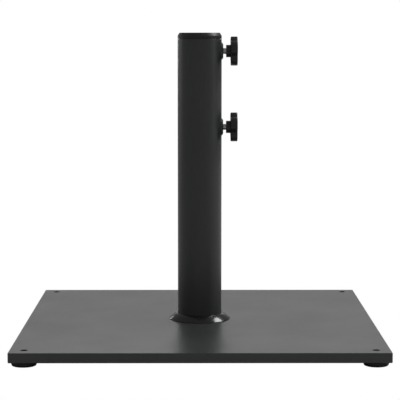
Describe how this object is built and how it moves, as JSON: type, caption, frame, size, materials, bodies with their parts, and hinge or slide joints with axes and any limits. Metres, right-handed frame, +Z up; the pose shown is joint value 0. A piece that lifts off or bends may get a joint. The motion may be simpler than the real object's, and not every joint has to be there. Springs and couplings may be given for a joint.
{
  "type": "parasol base",
  "caption": "Free-standing parasol base: square steel plate on levelling feet, with an upright tube whose star-knob hand screws clamp a pole.",
  "frame": {"origin": "on the floor under the centre of the plate and the tube", "axes": "+Z up along the tube, +X towards the hand screws, -Y the front"},
  "size_m": [0.45, 0.45, 0.391],
  "materials": {
    "coated_steel": "fine-textured anthracite powder coat, satin",
    "zinc_steel": "bright zinc plate",
    "blackened_steel": "black-oxide steel",
    "bare_steel": "dull oiled steel",
    "black_plastic": "black satin moulded plastic",
    "gloss_plastic": "polished black moulded plastic",
    "foot_plastic": "black moulded plastic, dull",
    "tip_nylon": "natural nylon"
  },
  "bodies": {
    "root": {"base_plate": "coated_steel", "post_tube": "coated_steel", "post_end_disc": "bare_steel", "post_screw_1": "zinc_steel", "post_screw_2": "zinc_steel", "post_screw_3": "zinc_steel", "post_screw_4": "zinc_steel", "trim_ring": "gloss_plastic", "top_collar": "black_plastic", "upper_boss": "coated_steel", "lower_boss": "coated_steel"},
    "foot_front_left": {"foot_pad_front_left": "foot_plastic"},
    "stud_front_left": {"foot_stud_front_left": "blackened_steel"},
    "foot_front_right": {"foot_pad_front_right": "foot_plastic"},
    "stud_front_right": {"foot_stud_front_right": "blackened_steel"},
    "foot_back_left": {"foot_pad_back_left": "foot_plastic"},
    "stud_back_left": {"foot_stud_back_left": "blackened_steel"},
    "foot_back_right": {"foot_pad_back_right": "foot_plastic"},
    "stud_back_right": {"foot_stud_back_right": "blackened_steel"},
    "upper_tip_slide": {"upper_tip": "tip_nylon"},
    "upper_hand_screw": {"upper_bolt": "zinc_steel", "upper_knob": "black_plastic", "upper_knob_cap": "black_plastic"},
    "lower_tip_slide": {"lower_tip": "tip_nylon"},
    "lower_hand_screw": {"lower_bolt": "zinc_steel", "lower_knob": "black_plastic", "lower_knob_cap": "black_plastic"}
  },
  "joints": [
    {"name": "foot_front_left_drop", "type": "slide", "parent": "root", "child": "foot_front_left", "axis": [0, 0, -1], "range_m": [0, 0.004]},
    {"name": "foot_front_left_turn", "type": "hinge", "parent": "foot_front_left", "child": "stud_front_left", "pos_m": [-0.2075, -0.2075, 0.006], "axis": [0, 0, -1], "range_deg": [0, 1160]},
    {"name": "foot_front_right_drop", "type": "slide", "parent": "root", "child": "foot_front_right", "axis": [0, 0, -1], "range_m": [0, 0.004]},
    {"name": "foot_front_right_turn", "type": "hinge", "parent": "foot_front_right", "child": "stud_front_right", "pos_m": [0.2075, -0.2075, 0.006], "axis": [0, 0, -1], "range_deg": [0, 1160]},
    {"name": "foot_back_left_drop", "type": "slide", "parent": "root", "child": "foot_back_left", "axis": [0, 0, -1], "range_m": [0, 0.004]},
    {"name": "foot_back_left_turn", "type": "hinge", "parent": "foot_back_left", "child": "stud_back_left", "pos_m": [-0.2075, 0.2075, 0.006], "axis": [0, 0, -1], "range_deg": [0, 1160]},
    {"name": "foot_back_right_drop", "type": "slide", "parent": "root", "child": "foot_back_right", "axis": [0, 0, -1], "range_m": [0, 0.004]},
    {"name": "foot_back_right_turn", "type": "hinge", "parent": "foot_back_right", "child": "stud_back_right", "pos_m": [0.2075, 0.2075, 0.006], "axis": [0, 0, -1], "range_deg": [0, 1160]},
    {"name": "upper_screw_travel", "type": "slide", "parent": "root", "child": "upper_tip_slide", "axis": [-1, 0, 0], "range_m": [-0.0025, 0.00375]},
    {"name": "upper_screw_turn", "type": "hinge", "parent": "upper_tip_slide", "child": "upper_hand_screw", "pos_m": [0.0304, 0, 0.3675], "axis": [-1, 0, 0], "range_deg": [-725, 1085]},
    {"name": "lower_screw_travel", "type": "slide", "parent": "root", "child": "lower_tip_slide", "axis": [-1, 0, 0], "range_m": [-0.0025, 0.00375]},
    {"name": "lower_screw_turn", "type": "hinge", "parent": "lower_tip_slide", "child": "lower_hand_screw", "pos_m": [0.0304, 0, 0.2695], "axis": [-1, 0, 0], "range_deg": [-725, 1085]}
  ],
  "couplings": [
    {"joint": "foot_front_left_turn", "follows": "foot_front_left_drop", "rad_per_m": 5026.5},
    {"joint": "foot_front_right_turn", "follows": "foot_front_right_drop", "rad_per_m": 5026.5},
    {"joint": "foot_back_left_turn", "follows": "foot_back_left_drop", "rad_per_m": 5026.5},
    {"joint": "foot_back_right_turn", "follows": "foot_back_right_drop", "rad_per_m": 5026.5},
    {"joint": "upper_screw_turn", "follows": "upper_screw_travel", "rad_per_m": 5026.5},
    {"joint": "lower_screw_turn", "follows": "lower_screw_travel", "rad_per_m": 5026.5}
  ]
}
